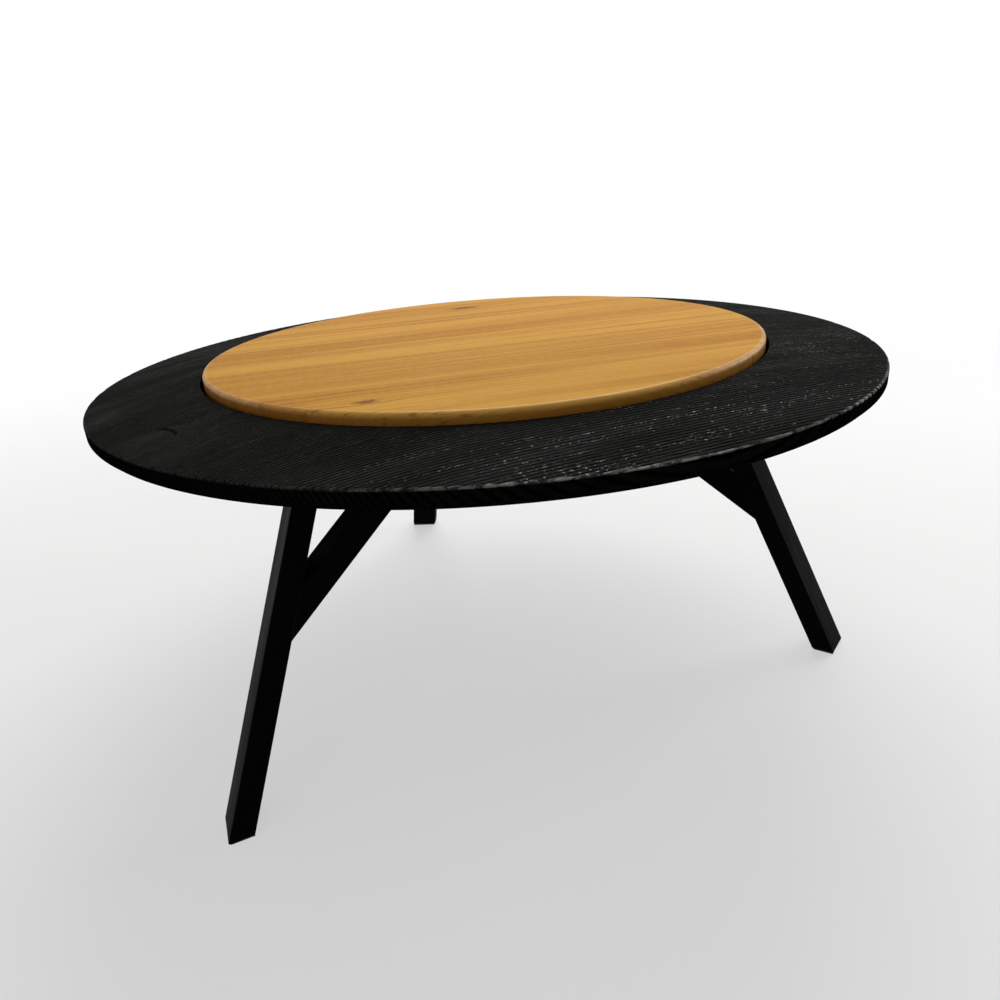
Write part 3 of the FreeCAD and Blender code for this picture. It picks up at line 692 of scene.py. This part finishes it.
def skin_direction(radius, height, rounding, under):
    """Outward and upward parts of where the ring's brushed skin faces; nought where it isn't brushed."""
    skin = 0.05 * MILLIMETRE
    none, full = 0 * radius, 0 * radius + 1
    depth = face_height(radius) - height
    over = radius - (RING_RADIUS - rounding)
    above = height - RING_BOTTOM
    chamfer = (abs(under - above - (RING_RADIUS - radius)) < skin) & (above > skin)
    cases = [depth < skin, (over > 0) & (depth < rounding), radius > RING_RADIUS - skin, chamfer]
    outward = np.select(cases, [none, over, full, full])
    upward = np.select(cases, [full, rounding - depth, none, -full])
    size = np.maximum(np.hypot(outward, upward), 1e-9)
    return outward / size, upward / size


def ridge_pattern(points, depth, spacing, number):
    """Growth rings of a board: grain coordinates, phase of the ridges, and how strongly they stand up."""
    x, y = points[:, 0], points[:, 1]
    across = y - GRAIN_LEAN * x + LEFT_BEND * np.clip(-x, 0, 1) ** 4 + RIGHT_BEND * np.clip(x, 0, 1) ** 4
    across += GRAIN_SWING * wander(x, y, GRAIN_WAVE, number)
    phase = (across + RING_SLANT * depth) / spacing + RIDGE_SWING * wander(x, across, RIDGE_WAVE, number)
    strength = STRENGTH_MEAN + STRENGTH_SWING * wander(x, across, STRENGTH_WAVE, number + STRENGTH_SEED)
    calm = sum(spot(points, *place) for place in CALM_PLACES)
    return x, across, phase, np.clip(strength, LEAST_STRENGTH, 1) * (1 - CALM_LOSS * np.clip(calm, 0, 1))


def ridge_height(phase):
    """Height of the ridges, 0 in the grooves and 1 on the crests."""
    away = 1 - abs(2 * (phase - np.floor(phase)) - 1)
    rise = np.clip((away - GROOVE_SHARE) / RISE_SHARE, 0, 1)
    return rise * rise * (3 - 2 * rise)


def crack_depth(points):
    """The crescent crack, 1 along its bottom."""
    x, y = points[:, 0] - CRACK_CENTRE[0], points[:, 1] - CRACK_CENTRE[1]
    angle = np.degrees(np.arctan2(y, x))
    to_end = np.minimum(angle - CRACK_START, CRACK_END - angle)
    across = (np.hypot(x, y) - CRACK_RADIUS) / CRACK_WIDTH
    return np.clip(to_end / CRACK_TAPER, 0, 1) * np.exp(-across ** 2)


# Pieces and stage

class TABLE_OT_brushed_ring(bpy.types.Operator):
    """Builds the ten brushed, charred boards of the ring."""

    bl_idname = "table.brushed_ring"
    bl_label = "Brushed board ring"

    def execute(self, context):
        settings = context.scene.table_ring
        material = charred_wood(settings)
        step = RELIEF_STEP
        outer_top, outer_bottom = (RING_RADIUS, RIM_TOP), (RING_RADIUS, RING_BOTTOM)
        inner_top, inner_bottom = (HOLE_RADIUS, RING_TOP), (HOLE_RADIUS, RING_BOTTOM)
        outline = [inner_bottom, outer_bottom, outer_top, inner_top]
        rounds = [(outer_top, settings.edge_round, 4), (inner_top, HOLE_ROUND, 3),
                  (outer_bottom, settings.under_chamfer, 1)]
        width = 2 * RING_RADIUS / BOARD_ROWS
        number = 0
        for row in range(BOARD_ROWS):
            low, high = row * width - RING_RADIUS, (row + 1) * width - RING_RADIUS
            whole = row in (0, BOARD_ROWS - 1)
            for half in (0,) if whole else (-1, 1):
                number += 1
                first, sweep = self.sector(low, high, half)
                board = turned_blank(outline, rounds, step, step / RING_RADIUS, first, sweep)
                if row > 0:
                    keep_side(board, (0, low, 0), (0, -1, 0))
                if row < BOARD_ROWS - 1:
                    keep_side(board, (0, high, 0), (0, 1, 0))
                piece = finished_piece(board, f"brushed_board_{number}", "base", material,
                                       [f"ring_board_{number}"])
                self.brush(piece.data, number, settings)
        return {"FINISHED"}

    def sector(self, low, high, half):
        """The first angle and the sweep of the sector that holds a board, with a little spare."""
        start = math.asin(max(low / (HOLE_RADIUS if low < 0 else RING_RADIUS), -1)) - SECTOR_SPARE
        end = math.asin(min(high / (HOLE_RADIUS if high > 0 else RING_RADIUS), 1)) + SECTOR_SPARE
        if half > 0:
            return start, end - start
        if half < 0:
            return math.pi - end, end - start
        # A whole board reaches from its end on one side of the table to its end on the other
        sweep = 2 * (end - start - SECTOR_SPARE)
        return (start if low > 0 else -math.pi - end), sweep

    def brush(self, mesh, number, settings):
        """Cuts the relief of the growth rings into a board, and stores its grain for the material."""
        points = places_of(mesh)
        radius = np.hypot(points[:, 0], points[:, 1])
        depth = face_height(radius) - points[:, 2]
        along, across, phase, strength = ridge_pattern(points, depth, settings.ridge_spacing, number)
        outward, upward = skin_direction(radius, points[:, 2], settings.edge_round, settings.under_chamfer)
        edge = np.clip(EDGE_GAIN * outward * upward, 0, 1)
        crack = crack_depth(points) * (upward > outward)
        chips = wander(points[:, 0], points[:, 1], CHIP_WAVE, number + CHIP_SEED)
        sink = settings.ridge_depth * strength * (1 - ridge_height(phase))
        sink += CRACK_DEPTH * crack + CHIP_DEPTH * edge * np.clip(chips - CHIP_LIMIT, 0, 1)
        unit = points[:, :2] / radius[:, None]
        points[:, 2] -= sink * upward
        points[:, :2] -= unit * (sink * outward)[:, None]
        mesh.vertices.foreach_set("co", points.astype(np.float32).ravel())
        # Strength of the painted glints and of the painted edge highlight, place by place
        glint_strength = GLINT_EVERYWHERE + sum(share * spot(points, *place) for share, *place in GLINT_PLACES)
        shift = [part * number for part in BOARD_SHIFT]
        store(mesh, "grain", np.stack([along + shift[0], across + shift[1], -depth], 1))
        # The ring's steep outer side, which the material darkens as painted shade
        rim_shade = np.clip(1 - RIM_SHADE_GAIN * upward, 0, 1)
        for name, values in (("phase", phase), ("relief", strength), ("glint_strength", np.clip(glint_strength, 0, 1)),
                             ("edge", edge), ("rim_shade", rim_shade), ("crack", crack)):
            store(mesh, name, values)
        mesh.update()


class TABLE_OT_honey_disc(bpy.types.Operator):
    """Builds the eight staves of the turning disc, with its rounded edge."""

    bl_idname = "table.honey_disc"
    bl_label = "Honey-coloured disc"

    def execute(self, context):
        settings = context.scene.table_disc
        material = honey_wood(settings)
        sides = DISC_SIDES
        outer_top, outer_bottom = (DISC_RADIUS, DISC_TOP), (DISC_RADIUS, DISC_BOTTOM)
        outline = [(0, DISC_BOTTOM), outer_bottom, outer_top, (0, DISC_TOP)]
        rounds = [(outer_top, settings.edge_round, 7), (outer_bottom, DISC_UNDER_CHAMFER, 1)]
        blank = turned_blank(outline, rounds, DISC_STEP, FULL_TURN / sides)
        width = 2 * DISC_RADIUS / STAVE_ROWS
        side = Vector((-math.sin(STAVE_TURN), math.cos(STAVE_TURN), 0))
        for row in range(STAVE_ROWS):
            stave = blank.copy()
            keep_side(stave, side * (row * width - DISC_RADIUS), -side)
            keep_side(stave, side * ((row + 1) * width - DISC_RADIUS), side)
            piece = finished_piece(stave, f"honey_stave_{row + 1}", "turntable", material,
                                   [f"disc_stave_{row + 1}"])
            self.lay_grain(piece.data, row, settings.edge_round)
        blank.free()
        return {"FINISHED"}

    def lay_grain(self, mesh, row, rounding):
        """Stores a stave's grain, tone and rounded edge for the material."""
        points = places_of(mesh)
        along, across = turned(points[:, 0], points[:, 1], STAVE_TURN)
        depth = DISC_TOP - points[:, 2]
        shift = [part * row for part in STAVE_SHIFT]
        store(mesh, "grain", np.stack([along + shift[0], across + shift[1], -depth], 1))
        # Tone falls off down the disc's side: partly deeper side grain, partly painted shade
        store(mesh, "tone", STAVE_TONES[row] - TONE_LOSS * np.clip(depth, 0, TONE_LOSS_DEPTH))
        rounded = (depth > 0.02 * MILLIMETRE) & (depth < rounding)
        store(mesh, "edge", np.where(rounded, 1.0, 0.0))


def finish_node(material, *names):
    """Gives carried-over nodes their material."""
    for name in names:
        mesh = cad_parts[name].data
        mesh.materials.clear()
        mesh.materials.append(material)


def along_piece(name):
    """The rotation that turns the longest direction of a node's points onto X."""
    points = places_of(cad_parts[name].data)
    spread = np.cov((points - points.mean(0)).T)
    direction = Vector(np.linalg.eigh(spread)[1][:, -1])
    return direction.rotation_difference(Vector((1, 0, 0))).to_euler()


class TABLE_OT_stained_frames(bpy.types.Operator):
    """Stains the legs, braces, rails and the panel black, and gives the dowels their beech."""

    bl_idname = "table.stained_frames"
    bl_label = "Stained leg frames"

    def execute(self, context):
        settings = context.scene.table_frame
        for number in range(1, LEG_COUNT + 1):
            for kind in ("leg", "brace", "rail"):
                node = f"{kind}_{number}"
                finish_node(stained_wood(f"black_{node}", settings, along_piece(node)), node)
        panel = stained_wood("black_panel", settings, turn=Euler((0, 0, 0.3)), spacing=0.006, sheen=0.58)
        finish_node(panel, "under_panel")
        finish_node(plain_beech(), "joint_dowels")
        return {"FINISHED"}


class TABLE_OT_bearing_and_fittings(bpy.types.Operator):
    """Gives the bearing, the screws and the glide pads their metals and plastics."""

    bl_idname = "table.bearing_and_fittings"
    bl_label = "Bearing and fittings"

    def execute(self, context):
        race = bare_metal("plain_aluminium", bright=(0.80, 0.80, 0.81), dull=(0.66, 0.66, 0.68),
                          roughness=0.30, marks_scale=(900.0, 900.0, 90.0))
        zinc = bare_metal("zinc_plated_steel", bright=(0.62, 0.62, 0.64), dull=(0.48, 0.48, 0.49),
                          roughness=0.34, marks_scale=(700.0, 700.0, 700.0))
        nylon = moulded_plastic("natural_nylon", (0.78, 0.77, 0.72), (0.70, 0.69, 0.63), roughness=0.42)
        pad = moulded_plastic("black_pad", (0.010, 0.010, 0.010), (0.022, 0.021, 0.019), roughness=0.62)
        finish_node(race, "bearing_fixed_race", "bearing_turning_race")
        finish_node(zinc, "bearing_balls", "ring_screws", "rail_screws", "fixed_race_screws",
                    "turning_race_screws")
        finish_node(nylon, "bearing_cage")
        finish_node(pad, *(f"foot_glide_{number}" for number in range(1, LEG_COUNT + 1)))
        return {"FINISHED"}


class TABLE_OT_studio_stage(bpy.types.Operator):
    """Sets the floor and backdrop, the soft lights, the world and the camera."""

    bl_idname = "table.studio_stage"
    bl_label = "Studio stage"

    def execute(self, context):
        settings = context.scene.table_stage
        self.floor(context, settings)
        self.lights(context, settings)
        self.world(context)
        self.camera(context)
        context.scene.view_settings.view_transform = "Standard"
        return {"FINISHED"}

    def floor(self, context, settings):
        """A pale floor that curves up into a backdrop all round."""
        bm = bmesh.new()
        outline = ((0, 0, 0), (FLOOR_REACH, 0, 0), (FLOOR_REACH, 0, BACKDROP_HEIGHT))
        corners = [bm.verts.new(place) for place in outline]
        for first, second in zip(corners, corners[1:]):
            bm.edges.new((first, second))
        bmesh.ops.bevel(bm, geom=[corners[1]], offset=BACKDROP_BEND, segments=12, profile=0.5,
                        affect="VERTICES", material=-1)
        bmesh.ops.spin(bm, geom=bm.verts[:] + bm.edges[:], axis=(0, 0, 1), cent=(0, 0, 0), steps=96,
                       angle=FULL_TURN, use_merge=True, use_duplicate=False)
        bmesh.ops.remove_doubles(bm, verts=bm.verts[:], dist=MILLIMETRE)
        bmesh.ops.recalc_face_normals(bm, faces=bm.faces[:])
        mesh = bpy.data.meshes.new("studio_floor")
        bm.to_mesh(mesh)
        bm.free()
        mesh.polygons.foreach_set("use_smooth", np.ones(len(mesh.polygons), bool))
        mesh.materials.append(self.pale_floor(settings))
        sweep = bpy.data.objects.new("studio_floor", mesh)
        context.scene.collection.objects.link(sweep)

    def pale_floor(self, settings):
        """The floor's finish: seen or mirrored, it fades from its own colour near the table into white."""
        material, tree, shader = blank_material("pale_floor")
        place = own_place(tree)
        cloud = flecks(tree, place, scale=(3.0, 3.0, 3.0), low=0.2, high=0.8, detail=3.0)
        light = settings.floor_colour
        feed(tree, shader, Base_Color=tint(tree, cloud, light, tuple(0.97 * part for part in light)),
             Roughness=0.8, Specular_IOR_Level=0.1)
        far = ramp(tree, length_of(tree, place), FADE_START, FADE_END)
        fade = times(tree, weigh(tree, LEAST_FADE, (far, 1 - LEAST_FADE)), self.seen(tree))
        white = place_node(tree, "ShaderNodeEmission", {"Color": (1, 1, 1, 1), "Strength": 1.0}).outputs[0]
        blend = place_node(tree, "ShaderNodeMixShader", {0: fade, 1: shader.outputs[0], 2: white})
        tree.links.new(blend.outputs[0], tree.nodes["Material Output"].inputs["Surface"])
        return material

    def seen(self, tree):
        """1 for rays that come from the camera, a mirror or a glass, else 0."""
        path = place_node(tree, "ShaderNodeLightPath").outputs
        mirrored = maths(tree, "MAXIMUM", path["Is Glossy Ray"], path["Is Transmission Ray"])
        return maths(tree, "MAXIMUM", path["Is Camera Ray"], mirrored)

    def lights(self, context, settings):
        """A broad soft light above and behind, a smaller one at the right and a weak one in front."""
        for name, power, size, place in (
            ("key_softbox", settings.key_power, 2.2, (0.9, 1.5, 2.6)),
            ("side_softbox", settings.side_power, 1.0, (2.4, 0.1, 1.15)),
            ("fill_softbox", settings.fill_power, 2.0, (-1.6, -2.2, 1.9)),
        ):
            lamp = bpy.data.lights.new(name, "AREA")
            lamp.energy = power
            lamp.size = size
            light = bpy.data.objects.new(name, lamp)
            turn = (LIGHT_AIM - Vector(place)).to_track_quat("-Z", "Y")
            light.matrix_world = Matrix.Translation(place) @ turn.to_matrix().to_4x4()
            context.scene.collection.objects.link(light)

    def world(self, context):
        """An even white surround that adds soft light from all sides."""
        world = bpy.data.worlds.new("soft_surround")
        world.use_nodes = True
        tree = world.node_tree
        surround = tree.nodes["Background"]
        strength = weigh(tree, SURROUND_LIGHT, (self.seen(tree), SURROUND_SEEN - SURROUND_LIGHT))
        feed(tree, surround, Color=(1.0, 0.995, 0.985, 1.0), Strength=strength)
        context.scene.world = world

    def camera(self, context):
        """The camera, at the photograph's viewpoint."""
        lens = bpy.data.cameras.new("table_camera")
        lens.lens = CAMERA_LENS
        lens.sensor_width = CAMERA_SENSOR
        camera = bpy.data.objects.new("table_camera", lens)
        turn = Euler([math.radians(angle) for angle in CAMERA_TURN])
        camera.matrix_world = Matrix.Translation(CAMERA_PLACE) @ turn.to_matrix().to_4x4()
        context.scene.collection.objects.link(camera)
        context.scene.camera = camera


class TABLE_PT_sidebar(bpy.types.Panel):
    """Lists the table's settings and the operators that build it."""

    bl_label = "Round coffee table"
    bl_idname = "TABLE_PT_sidebar"
    bl_space_type = "VIEW_3D"
    bl_region_type = "UI"
    bl_category = "Table"

    def draw(self, context):
        for group, operators in STEPS:
            box = self.layout.box()
            if group:
                settings = getattr(context.scene, group)
                for prop in settings.bl_rna.properties:
                    if prop.identifier not in ("rna_type", "name"):
                        box.prop(settings, prop.identifier)
            for operator in operators:
                box.operator(operator)


STEPS = (
    ("table_stage", ("table.studio_stage",)),
    ("table_ring", ("table.brushed_ring",)),
    ("table_disc", ("table.honey_disc",)),
    ("table_frame", ("table.stained_frames",)),
    (None, ("table.bearing_and_fittings",)),
)
SETTINGS = {
    "table_ring": TableRingSettings,
    "table_disc": TableDiscSettings,
    "table_frame": TableFrameSettings,
    "table_stage": TableStageSettings,
}
CLASSES = (
    *SETTINGS.values(),
    TABLE_OT_brushed_ring,
    TABLE_OT_honey_disc,
    TABLE_OT_stained_frames,
    TABLE_OT_bearing_and_fittings,
    TABLE_OT_studio_stage,
    TABLE_PT_sidebar,
)


def register():
    for item in CLASSES:
        bpy.utils.register_class(item)
    for name, kind in SETTINGS.items():
        setattr(bpy.types.Scene, name, bpy.props.PointerProperty(type=kind))


def unregister():
    for name in SETTINGS:
        delattr(bpy.types.Scene, name)
    for item in reversed(CLASSES):
        bpy.utils.unregister_class(item)


def main():
    register()
    bpy.ops.table.studio_stage()
    bpy.ops.table.brushed_ring()
    bpy.ops.table.honey_disc()
    bpy.ops.table.stained_frames()
    bpy.ops.table.bearing_and_fittings()


if __name__ == "__main__":
    main()
